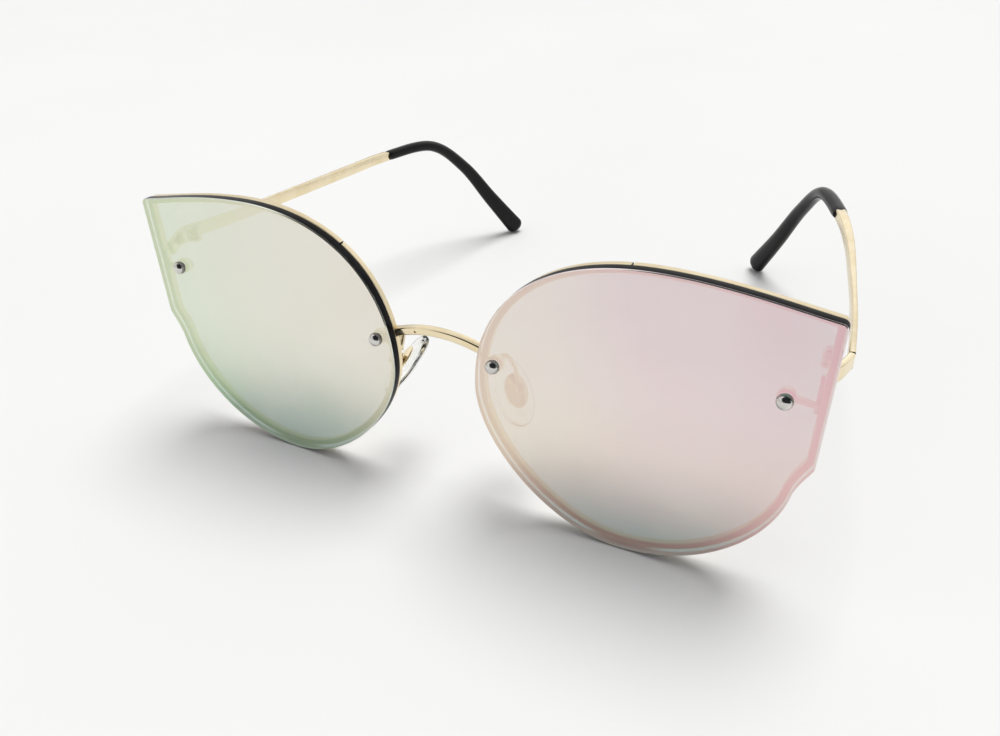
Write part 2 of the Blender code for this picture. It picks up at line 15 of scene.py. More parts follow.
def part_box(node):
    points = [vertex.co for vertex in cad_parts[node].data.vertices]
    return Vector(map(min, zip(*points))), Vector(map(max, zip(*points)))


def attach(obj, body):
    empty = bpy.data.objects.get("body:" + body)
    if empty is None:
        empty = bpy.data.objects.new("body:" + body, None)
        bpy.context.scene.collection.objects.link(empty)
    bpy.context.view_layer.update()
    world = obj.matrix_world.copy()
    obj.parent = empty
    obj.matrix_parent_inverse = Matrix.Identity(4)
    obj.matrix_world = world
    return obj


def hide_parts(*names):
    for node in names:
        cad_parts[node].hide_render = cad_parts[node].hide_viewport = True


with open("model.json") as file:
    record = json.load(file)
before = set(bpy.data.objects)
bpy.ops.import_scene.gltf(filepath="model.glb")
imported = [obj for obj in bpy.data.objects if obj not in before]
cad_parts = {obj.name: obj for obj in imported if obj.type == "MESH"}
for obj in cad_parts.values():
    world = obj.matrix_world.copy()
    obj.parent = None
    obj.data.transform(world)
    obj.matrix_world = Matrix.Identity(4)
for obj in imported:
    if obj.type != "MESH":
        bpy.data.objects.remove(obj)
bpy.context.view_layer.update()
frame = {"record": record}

MM = 0.001
SIDES = {"left": 1, "right": -1}

# ------------------------------------------------------------------ dimensions, as in the CAD
LENS_WRAP = 0.5
LENS_LEAN = 5.8
LENS_THICKNESS = 2.1
LENS_BEVEL = 0.35
BACK_CHAMFER = 0.1
TIP = (36.0, 26.0)
CREST = (6.4, 29.35)
NASAL = (-28.0, -0.5)
BOTTOM = (2.6, -30.4)
WAIST = (32.6, -7.4)
CORNER = (35.4, -1.1)
TIP_RADIUS = 1.1
CORNER_RADIUS = 0.5
RIM_INSET = 0.35
RIM_RAISE = 0.25
RIM_WIDTH = 1.35
RIM_DEPTH = 1.6
GAP = 0.3
RIM_FRONT = LENS_THICKNESS + 0.15
RIVETS = {"nasal": (-24.0, 4.6), "temporal": (28.85, 10.85)}
HEAD_RADIUS = 1.35
HEAD_HEIGHT = 0.8
SHAFT_RADIUS = 0.55
BUSH_BORE = 0.68
BUSH_RADIUS = 1.0
FLANGE_THICKNESS = 0.22
LENS_HOLE = 1.15
LUG_RADIUS = 1.65
LUG_THICKNESS = 1.0
LUG_FRONT = LENS_THICKNESS + 0.2
BLOCK_WIDTH = 0.6
BLOCK_ABOVE = 2.9
BLOCK_BELOW = 1.9
NUT_RADIUS = 1.3
NUT_THICKNESS = 0.9
BRIDGE_HALF_SPAN = 10.0
BRIDGE_TOP_Z = 37.78
BRIDGE_END_Z = 35.88
BRIDGE_DEPTH = 3.55
BRIDGE_THICKNESS = 1.7
TEMPLE_KNOTS = (
    (74.2, 13.69, 43.32),
    (72.8, 30.51, 40.92),
    (70.2, 50.45, 39.21),
    (67.3, 68.41, 38.0),
    (63.6, 82.4, 37.46),
    (57.5, 97.63, 35.57),
    (52.1, 106.71, 26.15),
    (46.4, 112.55, 13.67),
    (40.8, 117.46, 2.56),
)
MOUTH_KNOT = 4
CORE_SIZE = (0.8, 1.4)
BAR_THICKNESS = 1.05
BAR_HEIGHT = 3.3
BAR_END_HEIGHT = 2.4
BAR_END_THICKNESS = 2.2
BAR_THIN_SHARE = 0.4
SLEEVE_MOUTH = (1.8, 1.42)
SLEEVE_END = (1.85, 2.75)
TEMPLE_PITCH = 5.8
KNUCKLE_RADIUS = 1.2
HINGE_HALF_HEIGHT = 1.5
REAR_HALF_HEIGHT = 1.2
KNUCKLE_SPLIT = 0.5
KNUCKLE_GAP = 0.12
PIN_RADIUS = 0.5
PIN_HOLE = 0.6
REAR_LEAF = (1.15, 1.95, 5.6)
FRONT_LEAF = (0.9, 1.75, 3.3)
END_PIECE_ROUTE = ((71.1, 5.8), (71.8, 7.2), (73.1, 9.8), (74.2, 13.38))
END_PIECE_THICKNESS = 1.1
END_PIECE_HEIGHT = 3.1
PAD_UP = (-0.48, 0.493, 0.723)
PAD_FACING = (-0.64, 0.37, -0.68)
PAD_HALF_LENGTH = 7.4
PAD_HALF_WIDTH = 4.5
PAD_THICKNESS = 2.2
INSERT_HALF = (3.7, 2.5)
INSERT_THICKNESS = 0.4
PIVOT_BACK = 1.7
TAB_HALF = 0.45
TAB_HALF_HEIGHT = 0.7
TAB_REACH = 0.75
CHEEK = 0.4
BOX_HALF = 1.0
BOX_BEHIND = 0.65
BOX_WALL = 0.45
PAD_PIN_RADIUS = 0.28
ARM_RADIUS = 0.5
ARM_KNOTS = (
    (10.5, 4.15, 31.0),
    (10.9, 6.0, 32.1),
    (11.5, 7.5, 32.8),
    (12.6, 8.7, 32.5),
    (13.8, 9.2, 30.2),
    (14.63, 9.01, 26.66),
)

# ------------------------------------------------------------------ where this differs from the CAD
TIP_STEPS = 12
CORNER_STEPS = 8
STEPS_PER_KNOT = 20
CORE_STEPS = 28
BORE_STEPS = 32
CORE_BORE = (0.7, 1.0)
ROUND_STEPS = 48
SCREW_STEPS = 32
TIP_RING = 40
SHARP_ANGLE = 35
EDGE_SKIN = 0.15
EDGE_BEVEL = 0.18
SKIN_GAP = 0.01
RIM_CORNER = 0.34
RIM_SEAMS = {"left": (1.2, 28.5), "right": (-16.2, 22.9)}
SEAM_WIDTH = 0.4
SEAM_DEPTH = 0.65
CUT_PAST = 0.5
HEAD_LIFT = 0.15
HEAD_EDGE = 0.06
SHAFT_PROUD = 0.35
SHAFT_CHAMFER = 0.12
BUSH_FLANGE = 1.42
BUSH_OVERLAP = 0.05
NUT_GAP = 0.1
NUT_CHAMFER = 0.14
LUG_ROUNDING = 0.14
BRIDGE_STEPS = 72
BRIDGE_CORNER = 0.3
BRIDGE_FLARE = 0.22
BRIDGE_FLARE_REACH = 0.45
PIT_AT = (-5.1, 37.3)
PIT_RADIUS = 0.32
BAR_CORNER = 0.26
CORE_CORNER = 0.25
END_TRIM = 0.08
HINGE_SOFTNESS = 0.07
HINGE_FAR = 4.0
HINGE_HEAD_RADIUS = 0.9
SLOT_HALF_WIDTH = 0.1
SLOT_BOTTOM = 0.28
PAD_CROWN = (
    (0.5, 0.0), (0.1, 0.16), (0.0, 0.42), (0.3, 0.68), (1.1, 0.87), (2.2, 0.96), (3.2, 0.99),
)
PAD_RING = 64
PAD_TAPER = 0.10
CHEEK_GAP = 0.12
BOX_SOFTNESS = 0.12
PAD_HEAD_RADIUS = 0.62
ARM_FLARE = 0.5
ARM_FLARE_REACH = 0.5

# ------------------------------------------------------------------ light and glass
LENS_IOR = 1.55
PAD_IOR = 1.42
COAT_LAMP_SHARE = 0.2
SMOKE_LAMP_SHARE = 0.85
COAT_MIRROR_SHARE = 0.75
COAT_WANDER = 0.06
# slant of the painted shade's lower edge across the lens
PAINTED_SHADE_TILT = 0.075
ROOM_LIGHT = 0.60
MIRRORED_EXTRA = (-0.15, 0.65)
CAMERA_EXTRA = 0.35
DARK_PLACE = (32, 42)
DARK_INNER = 30
DARK_OUTER = 42
DARK_WIDER = 0.24
KEY_FROM = (165, 70)
KEY_ENERGY = 2.38
KEY_ANGLE = 35
FLOOR_HALF = 4.0


# ------------------------------------------------------------------ materials


def new_material(name):
    made = bpy.data.materials.new(name)
    made.use_nodes = True
    tree = made.node_tree
    return made, tree, tree.nodes["Principled BSDF"]


def node(tree, kind, inputs=None, **settings):
    made = tree.nodes.new(kind)
    for key, value in settings.items():
        setattr(made, key, value)
    for key, value in (inputs or {}).items():
        socket = made.inputs[key]
        if isinstance(value, bpy.types.NodeSocket):
            tree.links.new(value, socket)
        else:
            socket.default_value = value
    return made


def in_millimetres(tree, stretch=(1.0, 1.0, 1.0)):
    where = node(tree, "ShaderNodeTexCoord")
    scale = tuple(s / MM for s in stretch)
    return node(tree, "ShaderNodeMapping", {"Vector": where.outputs["Object"], "Scale": scale})


def noise(tree, scale, detail=4.0, stretch=(1.0, 1.0, 1.0), rough=0.5):
    place = in_millimetres(tree, stretch)
    inputs = {"Vector": place.outputs["Vector"], "Scale": scale, "Detail": detail}
    made = node(tree, "ShaderNodeTexNoise", {**inputs, "Roughness": rough})
    return made.outputs["Fac"]


def ramp(tree, factor, *stops):
    made = node(tree, "ShaderNodeValToRGB", {"Fac": factor})
    elements = made.color_ramp.elements
    while len(elements) < len(stops):
        elements.new(0.5)
    for element, (position, colour) in zip(elements, stops):
        element.position = position
        element.color = (*colour, 1.0)
    return made.outputs["Color"]


def spread(tree, factor, low, high, start=0.3, end=0.7):
    made = node(
        tree,
        "ShaderNodeMapRange",
        {"Value": factor, "From Min": start, "From Max": end, "To Min": low, "To Max": high},
    )
    return made.outputs["Result"]


def multiply_add(tree, value, factor, added):
    inputs = {0: value, 1: factor, 2: added}
    return node(tree, "ShaderNodeMath", inputs, operation="MULTIPLY_ADD").outputs[0]


def bump(tree, shader, height, distance, strength=1.0):
    made = node(
        tree, "ShaderNodeBump", {"Height": height, "Strength": strength, "Distance": distance * MM}
    )
    tree.links.new(made.outputs["Normal"], shader.inputs["Normal"])


def link(tree, output, shader, socket):
    tree.links.new(output, shader.inputs[socket])


def cloud_colour(tree, shader, scale, detail, low, high, start=0.3):
    """Base colour that drifts between two shades."""
    clouds = noise(tree, scale, detail)
    link(tree, ramp(tree, clouds, (start, low), (1.0 - start, high)), shader, "Base Color")
    return clouds


def mix(tree, factor, first, second):
    made = node(tree, "ShaderNodeMixShader", {"Fac": factor})
    tree.links.new(first, made.inputs[1])
    tree.links.new(second, made.inputs[2])
    return made.outputs["Shader"]


def let_lamps_through(tree, surface, share):
    """Lets that share of the lamps' light through, which bent light alone wouldn't."""
    path = node(tree, "ShaderNodeLightPath")
    clear = node(tree, "ShaderNodeBsdfTransparent", {"Color": (share, share, share, 1.0)})
    shown = mix(tree, path.outputs["Is Shadow Ray"], surface, clear.outputs["BSDF"])
    tree.links.new(shown, tree.nodes["Material Output"].inputs["Surface"])


def metal_material(name, low, high, rough_low, rough_high, grain):
    """Plated metal: slight colour clouds, fine buffing lines and a few soft dents."""
    made, tree, shader = new_material(name)
    shader.inputs["Metallic"].default_value = 1.0
    cloud_colour(tree, shader, 0.22, 5.0, low, high, 0.35)
    lines = noise(tree, 3.0, 8.0, grain, 0.7)
    link(tree, spread(tree, lines, rough_low, rough_high), shader, "Roughness")
    bump(tree, shader, lines, 0.0015, 0.5)
    return made


def steel_material():
    """Turned steel with fine scratches."""
    made, tree, shader = new_material("rivet_steel")
    shader.inputs["Metallic"].default_value = 1.0
    cloud_colour(tree, shader, 0.9, 5.0, (0.60, 0.58, 0.55), (0.70, 0.68, 0.65), 0.35)
    scratches = noise(tree, 5.0, 8.0, (1.0, 1.0, 5.0), 0.7)
    link(tree, spread(tree, scratches, 0.07, 0.17), shader, "Roughness")
    bump(tree, shader, scratches, 0.004, 0.4)
    return made


def black_material():
    """Glossy acetate with a faint orange peel and handling marks."""
    made, tree, shader = new_material("black_tip")
    shader.inputs["Specular IOR Level"].default_value = 0.22
    cloud_colour(tree, shader, 0.15, 3.0, (0.003, 0.0035, 0.0033), (0.006, 0.0066, 0.006))
    marks = noise(tree, 1.4, 8.0, (1.0, 0.4, 0.4), 0.65)
    link(tree, spread(tree, marks, 0.15, 0.27), shader, "Roughness")
    bump(tree, shader, noise(tree, 0.9, 2.0), 0.02, 0.35)
    return made


def pad_material():
    """Clear soft vinyl with tiny bubbles of roughness."""
    made, tree, shader = new_material("clear_pad")
    shader.inputs["Transmission Weight"].default_value = 1.0
    shader.inputs["IOR"].default_value = PAD_IOR
    cloud_colour(tree, shader, 0.35, 3.0, (0.95, 0.96, 0.93), (0.99, 0.99, 0.97))
    link(tree, spread(tree, noise(tree, 2.2, 5.0), 0.03, 0.10), shader, "Roughness")
    bump(tree, shader, noise(tree, 0.7, 2.0), 0.03, 0.4)
    return made


def nylon_material():
    """Milky nylon, as the sleeves in the lens holes are, dimmed partly as painted shade round the
    rivet heads.
    """
    made, tree, shader = new_material("nylon_bush")
    shader.inputs["Subsurface Weight"].default_value = 0.3
    shader.inputs["Subsurface Scale"].default_value = 0.5 * MM
    # the grey is partly the nylon's own and partly painted shade, the contact shadow round the
    # rivet heads
    clouds = cloud_colour(tree, shader, 1.2, 4.0, (0.44, 0.43, 0.40), (0.54, 0.53, 0.50))
    link(tree, spread(tree, clouds, 0.30, 0.45), shader, "Roughness")
    return made


def across_lens(tree, side):
    """Shares 0 to 1 across the lens of that side, from the nose side out, and upwards."""
    low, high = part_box("lens_left" if side > 0 else "lens_right")
    where = node(tree, "ShaderNodeTexCoord")
    split = node(tree, "ShaderNodeSeparateXYZ", {"Vector": where.outputs["Object"]})
    near, far = (low.x, high.x) if side > 0 else (high.x, low.x)
    out = spread(tree, split.outputs["X"], 0.0, 1.0, near, far)
    up = spread(tree, split.outputs["Z"], 0.0, 1.0, low.z, high.z)
    return out, up


def coat_material(name, side, across, upwards, seen):
    """Part mirror: tinted across and darkened towards the bottom as painted shade, a faint cloud,
    and what lies behind in the other tint.
    """
    made, tree, shader = new_material(name)
    shader.inputs["Metallic"].default_value = 1.0
    out, up = across_lens(tree, side)
    wander = spread(tree, noise(tree, 0.05, 3.0), -COAT_WANDER, COAT_WANDER)
    out = multiply_add(tree, wander, 1.0, out)
    up = multiply_add(tree, wander, 1.0, up)
    # painted shade: the upwards ramp darkens the mirror tint towards the bottom, standing for the
    # shadowed floor that the lens mirrors; the tilt slants its edge across the lens
    up = multiply_add(tree, out, -PAINTED_SHADE_TILT, up)
    both = {"Factor": 1.0, "A": ramp(tree, out, *across), "B": ramp(tree, up, *upwards)}
    colour = node(tree, "ShaderNodeMix", both, data_type="RGBA", blend_type="MULTIPLY")
    link(tree, colour.outputs["Result"], shader, "Base Color")
    smears = noise(tree, 0.25, 6.0, (1.0, 1.0, 0.6), 0.6)
    link(tree, spread(tree, smears, 0.02, 0.07), shader, "Roughness")
    bump(tree, shader, noise(tree, 0.03, 1.0), 0.02, 0.25)
    seen = ramp(tree, out, *seen)
    bent = node(tree, "ShaderNodeBsdfRefraction", {"Color": seen, "IOR": LENS_IOR})
    bent.inputs["Roughness"].default_value = 0.0
    both = mix(tree, COAT_MIRROR_SHARE, bent.outputs["BSDF"], shader.outputs["BSDF"])
    let_lamps_through(tree, both, COAT_LAMP_SHARE)
    return made


def smoke_material():
    """Tinted back of the lens, which bends the light out again."""
    made, tree, shader = new_material("lens_back_tint")
    shader.inputs["Transmission Weight"].default_value = 1.0
    shader.inputs["IOR"].default_value = LENS_IOR
    cloud_colour(tree, shader, 0.12, 3.0, (0.72, 0.71, 0.70), (0.76, 0.75, 0.74))
    link(tree, spread(tree, noise(tree, 0.3, 6.0), 0.0, 0.03), shader, "Roughness")
    let_lamps_through(tree, shader.outputs["BSDF"], SMOKE_LAMP_SHARE)
    return made


def edge_material(name, low, high, specular):
    """Lacquer on a lens edge, with the lines that the grinding left along it."""
    made, tree, shader = new_material(name)
    shader.inputs["Specular IOR Level"].default_value = specular
    cloud_colour(tree, shader, 0.35, 5.0, low, high, 0.35)
    lines = noise(tree, 1.6, 6.0, (1.0, 5.0, 1.0), 0.6)
    link(tree, spread(tree, lines, 0.08, 0.2), shader, "Roughness")
    bump(tree, shader, lines, 0.01, 0.3)
    return made


# ------------------------------------------------------------------ mesh helpers


def skin(bm, rings, closed=False, looks=None):
    """Joins rings of equal length. looks holds one material index per band, then the caps."""
    loops = [[bm.verts.new(point) for point in ring] for ring in rings]
    count = len(loops[0])
    pairs = list(zip(loops, loops[1:]))
    if closed:
        pairs.append((loops[-1], loops[0]))
    looks = looks or [0] * (len(pairs) + 2)
    for (low, high), look in zip(pairs, looks):
        for i in range(count):
            j = (i + 1) % count
            bm.faces.new((low[i], low[j], high[j], high[i])).material_index = look
    if not closed:
        bm.faces.new(loops[0][::-1]).material_index = looks[len(pairs)]
        bm.faces.new(loops[-1]).material_index = looks[len(pairs) + 1]


def mesh_object(name, bm, looks, sharp=SHARP_ANGLE):
    bmesh.ops.recalc_face_normals(bm, faces=bm.faces)
    mesh = bpy.data.meshes.new(name)
    bm.to_mesh(mesh)
    bm.free()
    for look in looks:
        mesh.materials.append(look)
    mesh.shade_smooth()
    mesh.set_sharp_from_angle(angle=math.radians(sharp))
    obj = bpy.data.objects.new(name, mesh)
    bpy.context.scene.collection.objects.link(obj)
    return obj


def to_row(bm, at, side):
    """Takes local millimetres of the +X side to the row frame, mirrored for the other side."""
    flip = Matrix.Diagonal((side, 1.0, 1.0, 1.0))
    for vertex in bm.verts:
        vertex.co = (flip @ at @ vertex.co) * MM


def solid(name, rings, looks, at, side, closed=False, bands=None, sharp=SHARP_ANGLE):
    bm = bmesh.new()
    skin(bm, rings, closed, bands)
    to_row(bm, at, side)
    return mesh_object(name, bm, looks, sharp)


def apply_modifiers(obj):
    graph = bpy.context.evaluated_depsgraph_get()
    mesh = bpy.data.meshes.new_from_object(obj.evaluated_get(graph))
    old = obj.data
    obj.modifiers.clear()
    obj.data = mesh
    bpy.data.meshes.remove(old)


def combine(obj, tool, operation="DIFFERENCE"):
    """Cuts a tool from the object or joins it on, and removes the tool."""
    boolean = obj.modifiers.new("shape", "BOOLEAN")
    boolean.operation = operation
    boolean.solver = "EXACT"
    boolean.object = tool
    apply_modifiers(obj)
    bpy.data.objects.remove(tool, do_unlink=True)
    obj.data.shade_smooth()
    obj.data.set_sharp_from_angle(angle=math.radians(SHARP_ANGLE))


def soften(obj, width, segments=3):
    """Rounds every sharp edge a little, as polished metal has."""
    bevel = obj.modifiers.new("soft_edges", "BEVEL")
    bevel.width = width * MM
    bevel.segments = segments
    bevel.limit_method = "ANGLE"
    bevel.angle_limit = math.radians(32)
    bevel.harden_normals = False
    bevel.use_clamp_overlap = True
    apply_modifiers(obj)
    obj.data.shade_smooth()
    obj.data.set_sharp_from_angle(angle=math.radians(48))


def settle(obj, body, node_name):
    """Rides the piece on a body, in the place of one CAD node."""
    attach(obj, body)
    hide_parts(node_name)


def circle(radius, count):
    steps = (2 * math.pi * i / count for i in range(count))
    return [(radius * math.cos(a), radius * math.sin(a)) for a in steps]


def rounded_box(width, height, radius, steps=5):
    points = []
    for quarter, (sx, sy) in enumerate(((1, 1), (-1, 1), (-1, -1), (1, -1))):
        centre = (sx * (width / 2 - radius), sy * (height / 2 - radius))
        for i in range(steps):
            angle = math.pi / 2 * (quarter + i / (steps - 1))
            points.append(
                (centre[0] + radius * math.cos(angle), centre[1] + radius * math.sin(angle))
            )
    return points


def turned(profile, count, axis_point=(0.0, 0.0)):
    return [
        [(axis_point[0] + x, depth, axis_point[1] + z) for x, z in circle(radius, count)]
        for radius, depth in profile
    ]


def slab(outline, low, high):
    return [[(x, y, z) for x, y in outline] for z in (low, high)]


def block(low, high):
    outline = ((low[0], low[1]), (high[0], low[1]), (high[0], high[1]), (low[0], high[1]))
    return slab(outline, low[2], high[2])


# ------------------------------------------------------------------ outline and routes


def lens_curves():
    lean = math.radians(10)
    rise = math.radians(27)
    return (
        (TIP, (TIP[0] - 6.5, TIP[1] + 0.8), (CREST[0] + 12.5, CREST[1]), CREST, 12),
        (CREST, (CREST[0] - 23.3, CREST[1]), (NASAL[0], NASAL[1] + 16.4), NASAL, 20),
        (NASAL, (NASAL[0], NASAL[1] - 13.0), (BOTTOM[0] - 14.9, BOTTOM[1]), BOTTOM, 16),
        (
            BOTTOM,
            (BOTTOM[0] + 16.0, BOTTOM[1]),
            (WAIST[0] - 11.7 * math.sin(lean), WAIST[1] - 11.7 * math.cos(lean)),
            WAIST,
            18,
        ),
        (
            WAIST,
            (WAIST[0] + 2.0 * math.sin(lean), WAIST[1] + 2.0 * math.cos(lean)),
            (CORNER[0] - 2.2 * math.sin(rise), CORNER[1] - 2.2 * math.cos(rise)),
            CORNER,
            4,
        ),
    )


def fillet(corner, before, after, radius, steps):
    half = before.angle(after) / 2
    middle = corner + (before + after).normalized() * radius / math.sin(half)
    start = corner + before * radius / math.tan(half) - middle
    end = corner + after * radius / math.tan(half) - middle
    sweep = start.angle_signed(end)
    return [middle + Matrix.Rotation(-sweep * i / (steps - 1), 2) @ start for i in range(steps)]


def meet(a, direction_a, b, direction_b):
    return a + direction_a * ((b - a).cross(direction_b) / direction_a.cross(direction_b))


def lens_outline(inset):
    """The outline moved inwards by inset, four times as fine as in the CAD."""
    points = []
    directions = []
    for start, first, second, end, steps in lens_curves():
        flat = [Vector((*p, 0.0)) for p in (start, first, second, end)]
        samples = [p.to_2d() for p in interpolate_bezier(*flat, 8 * steps + 1)]
        for i in range(0, 8 * steps, 2):
            points.append(samples[i])
            directions.append((samples[i + 1] - samples[i]).normalized())
    finish = (samples[-1] - samples[-2]).normalized()
    inward = [Vector((-d.y, d.x)) for d in directions]
    moved = [p + n * inset for p, n in zip(points, inward)]
    side = (Vector(TIP) - Vector(CORNER)).normalized()
    side_in = Vector((-side.y, side.x)) * inset
    finish_in = Vector((-finish.y, finish.x)) * inset
    tip = meet(moved[0], directions[0], Vector(TIP) + side_in, side)
    corner = meet(Vector(CORNER) + finish_in, finish, Vector(CORNER) + side_in, side)
    tip_arc = fillet(tip, -side, directions[0], max(TIP_RADIUS - inset, 0.15), TIP_STEPS)
    corner_arc = fillet(corner, -finish, side, CORNER_RADIUS, CORNER_STEPS)
    return tip_arc + moved[8:] + corner_arc


def lens_ring(inset, depth, raised=0.0):
    return [(p.x, depth, p.y + raised) for p in lens_outline(inset)]


def smooth_route(knots, per_knot):
    knots = [Vector(k) for k in knots]
    padded = [2 * knots[0] - knots[1], *knots, 2 * knots[-1] - knots[-2]]
    points = []
    for a, b, c, d in zip(padded, padded[1:], padded[2:], padded[3:]):
        for i in range(per_knot):
            t = i / per_knot
            points.append(
                0.5
                * (
                    2 * b
                    + (c - a) * t
                    + (2 * a - 5 * b + 4 * c - d) * t**2
                    + (3 * b - a - 3 * c + d) * t**3
                )
            )
    points.append(knots[-1])
    return points


def frames_along(points, up=Vector((0.0, 0.0, 1.0))):
    frames = []
    last = len(points) - 1
    for i, point in enumerate(points):
        ahead = (points[min(i + 1, last)] - points[max(i - 1, 0)]).normalized()
        across = ahead.cross(up).normalized()
        frames.append((point, across, across.cross(ahead)))
    return frames


def place_section(at, section):
    point, across, high = at
    return [point + across * a + high * b for a, b in section]


def lengths_along(points):
    total = [0.0]
    for a, b in zip(points, points[1:]):
        total.append(total[-1] + (b - a).length)
    return total


def inset_outline(points, distance):
    """A closed outline, run anticlockwise, moved inwards."""
    points = [Vector(p) for p in points]
    moved = []
    for before, point, after in zip(points[-1:] + points[:-1], points, points[1:] + points[:1]):
        one = (point - before).normalized()
        two = (after - point).normalized()
        normal = Vector((-one.y - two.y, one.x + two.x)).normalized()
        moved.append(point + normal * distance / max(normal.dot(Vector((-two.y, two.x))), 0.5))
    return moved


def rounded_plate(outline, low, high, radius, make):
    """Rings of a plate whose two rims are rounded by a quarter circle."""
    rings = []
    for i in range(4):
        angle = math.pi / 2 * i / 3
        rings.append((radius * (1 - math.sin(angle)), low + radius * (1 - math.cos(angle))))
    rings += [(inset, low + high - height) for inset, height in reversed(rings)]
    return [[make(p, height) for p in inset_outline(outline, inset)] for inset, height in rings]


# ------------------------------------------------------------------ stations


def lens_station():
    """Where the left lens plane lies: its box is the box of the CAD lens."""
    turn = Matrix.Rotation(math.radians(-LENS_LEAN), 4, "X") @ Matrix.Rotation(
        math.radians(LENS_WRAP), 4, "Z"
    )
    corners = [turn @ Vector(p) for p in lens_ring(LENS_BEVEL, 0.0)]
    corners += [turn @ Vector(p) for p in lens_ring(0.0, LENS_BEVEL)]
    corners += [turn @ Vector(p) for p in lens_ring(0.0, LENS_THICKNESS - BACK_CHAMFER)]
    corners += [turn @ Vector(p) for p in lens_ring(BACK_CHAMFER, LENS_THICKNESS)]
    low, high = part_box("lens_left")
    middle = (low + high) / 2 / MM
    own_low = Vector(min(c[i] for c in corners) for i in range(3))
    own_high = Vector(max(c[i] for c in corners) for i in range(3))
    return Matrix.Translation(middle - (own_low + own_high) / 2) @ turn


def joint_place(name):
    joint = next(j for j in frame["record"]["behaviour"]["joints"] if j["name"] == name)
    return Vector(joint["pos_m"]) / MM


LENS_AT = lens_station()
HINGE_AT = Matrix.Translation(joint_place("left_temple_fold")) @ Matrix.Rotation(
    math.radians(-TEMPLE_PITCH), 4, "X"
)
FRONT_Y = LENS_AT.translation.y
HINGE_Z = HINGE_AT.translation.z
ROW = Matrix.Identity(4)


def pad_station():
    up = Vector(PAD_UP).normalized()
    facing = Vector(PAD_FACING)
    facing = (facing - up * facing.dot(up)).normalized()
    turn = Matrix((facing, up.cross(facing), up)).transposed().to_4x4()
    return Matrix.Translation(joint_place("left_pad_rock")) @ turn


PAD_AT = pad_station()


def from_front(point):
    return Vector((point[0], point[1] + FRONT_Y, point[2]))


# ------------------------------------------------------------------ the front


def drill(obj, at, side, centre, radius, look):
    """A round hole from front to back."""
    rings = turned(((radius, -3.0), (radius, 12.0)), TIP_RING, centre)
    combine(obj, solid("drill", rings, [look], at, side))


def make_lens(side, name, looks):
    """A clear plate with a mirror coat, and round it the polished edge as its own ring."""
    coat, back, dark, bright, bevel = looks
    inner = EDGE_SKIN + SKIN_GAP
    plate = solid(
        "lens_plate_" + name,
        [
            lens_ring(EDGE_BEVEL, 0.0),
            lens_ring(inner, EDGE_BEVEL - inner),
            lens_ring(inner, LENS_THICKNESS),
        ],
        [coat, back, bright],
        LENS_AT,
        side,
        bands=[0, 2, 0, 1],
    )
    for centre in RIVETS.values():
        drill(plate, LENS_AT, side, centre, LENS_HOLE, bright)
    settle(plate, "front", "lens_" + name)
    section = (
        (0.0, EDGE_BEVEL + 0.04),
        (0.0, LENS_THICKNESS - BACK_CHAMFER),
        (BACK_CHAMFER, LENS_THICKNESS),
        (EDGE_SKIN, LENS_THICKNESS),
        (EDGE_SKIN, EDGE_BEVEL - EDGE_SKIN),
        (0.03, EDGE_BEVEL - 0.02),
    )
    rings = [lens_ring(inset, depth) for inset, depth in section]
    edge = solid(
        "lens_edge_" + name,
        rings,
        [dark, bevel],
        LENS_AT,
        side,
        closed=True,
        bands=[0, 0, 0, 0, 1, 1],
    )
    settle(edge, "front", "lens_" + name)


def seam_cut(near):
    """A narrow block across the outer side of the rim, where its wire was closed."""
    outline = lens_outline(0.0)
    spot = min(range(1, len(outline) - 1), key=lambda i: (outline[i] - Vector(near)).length)
    along = (outline[spot + 1] - outline[spot - 1]).normalized()
    inward = Vector((-along.y, along.x))
    corners = []
    deep = RIM_INSET + SEAM_DEPTH
    for a, b in ((-1, -CUT_PAST), (1, -CUT_PAST), (1, deep), (-1, deep)):
        corners.append(outline[spot] + along * a * SEAM_WIDTH / 2 + inward * b)
    depths = (RIM_FRONT - CUT_PAST, RIM_FRONT + RIM_DEPTH + CUT_PAST)
    return [[(p.x, depth, p.y + RIM_RAISE) for p in corners] for depth in depths]


def make_rim(side, name, gold, dark):
    """Square wire behind the lens; the walls of the notch where its ends meet are near-black,
    painted shade in the notch.
    """
    section = rounded_box(RIM_WIDTH, RIM_DEPTH, RIM_CORNER)
    rings = []
    for across, depth in section:
        inset = RIM_INSET + RIM_WIDTH / 2 + across
        rings.append(lens_ring(inset, RIM_FRONT + RIM_DEPTH / 2 + depth, RIM_RAISE))
    looks = [gold, dark]
    rim = solid("rim_wire_" + name, rings, looks, LENS_AT, side, closed=True)
    seam = seam_cut(RIM_SEAMS[name])
    # the notch's walls take the near-black edge material: painted shade inside the seam
    combine(rim, solid("tool", seam, looks, LENS_AT, side, bands=[1, 1, 1]))
    settle(rim, "front", "rim_" + name)


def make_rivet(side, name, where, steel):
    """Domed head on a shaft that ends behind the nut."""
    under = -FLANGE_THICKNESS - HEAD_LIFT
    end = LUG_FRONT + LUG_THICKNESS + NUT_THICKNESS + SHAFT_PROUD
    steps = 12
    profile = []
    for i in range(1, steps):
        angle = math.pi / 2 * i / steps
        profile.append((HEAD_RADIUS * math.sin(angle), under - HEAD_HEIGHT * math.cos(angle)))
    profile += [
        (HEAD_RADIUS, under - HEAD_EDGE),
        (HEAD_RADIUS - 0.05, under),
        (SHAFT_RADIUS, under),
        (SHAFT_RADIUS, end - SHAFT_CHAMFER),
        (SHAFT_RADIUS - SHAFT_CHAMFER, end),
    ]
    tag = f"{where}_{name}"
    rings = turned(profile, ROUND_STEPS, RIVETS[where])
    rivet = solid("rivet_head_" + tag, rings, [steel], LENS_AT, side)
    settle(rivet, "front", "rivet_" + tag)


